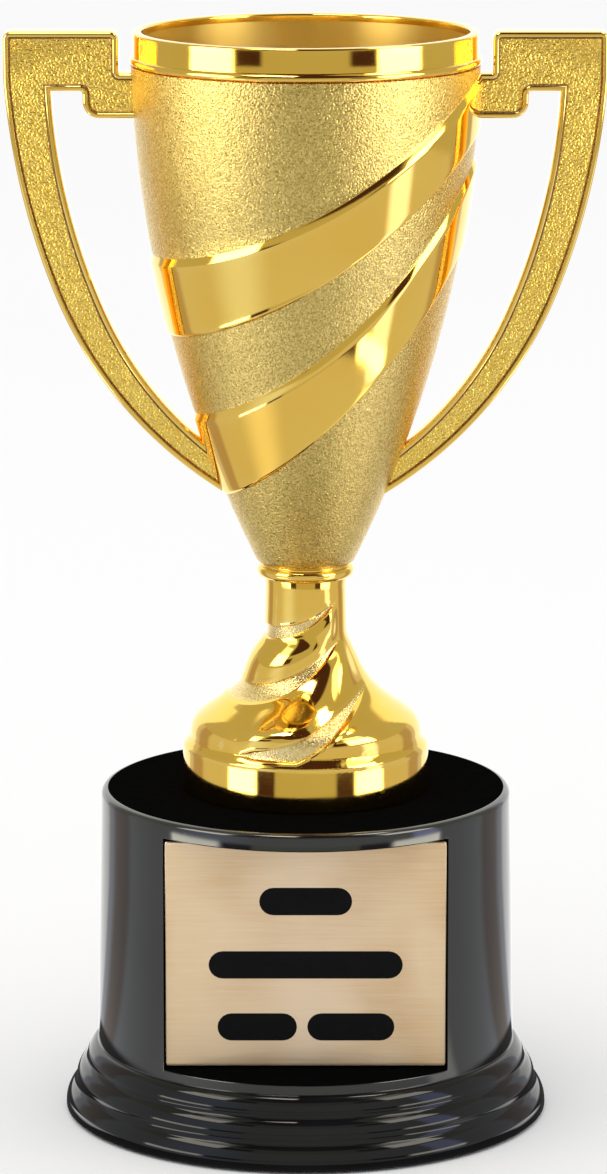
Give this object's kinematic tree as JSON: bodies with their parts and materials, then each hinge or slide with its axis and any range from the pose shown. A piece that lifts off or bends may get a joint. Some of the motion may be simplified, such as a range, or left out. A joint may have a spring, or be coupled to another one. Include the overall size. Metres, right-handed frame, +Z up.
{
  "type": "cup trophy",
  "caption": "Two-handled gold cup trophy with swirl bands on a round black base with a blank engraving plate.",
  "frame": {"origin": "centre of the underside of the base, on the surface that the trophy stands on", "axes": "+Z up along the cup's axis, -Y towards the engraving plate, +X towards the handle on the right as seen from the plate side"},
  "size_m": [0.11, 0.0904, 0.2032],
  "materials": {
    "gold_polished": "mirror-polished gold plating",
    "gold_grained": "blast-grained gold plating with polished bands",
    "plate_gold": "fine brushed satin gold",
    "black_gloss": "high gloss",
    "zinc_steel": "bright zinc",
    "iron": "as cast",
    "black_board": "matt",
    "felt": "felt",
    "tape": "matt foam tape",
    "black_fill": "satin black enamel"
  },
  "bodies": {
    "root": {"bowl": "gold_grained", "rim_ring": "gold_polished", "handle_left": "gold_polished", "handle_right": "gold_polished", "handle_screws": "zinc_steel", "stem": "gold_polished", "tie_rod": "zinc_steel", "cup_washer": "zinc_steel", "cup_lock_washer": "zinc_steel", "cup_nut": "zinc_steel", "base_shell": "black_gloss", "base_washer": "zinc_steel", "base_lock_washer": "zinc_steel", "base_nut": "zinc_steel", "ballast": "iron", "base_cover": "black_board", "cover_screws": "zinc_steel", "felt_pad": "felt", "plate_tape": "tape", "plate": "plate_gold", "plate_infill": "black_fill"}
  },
  "joints": []
}
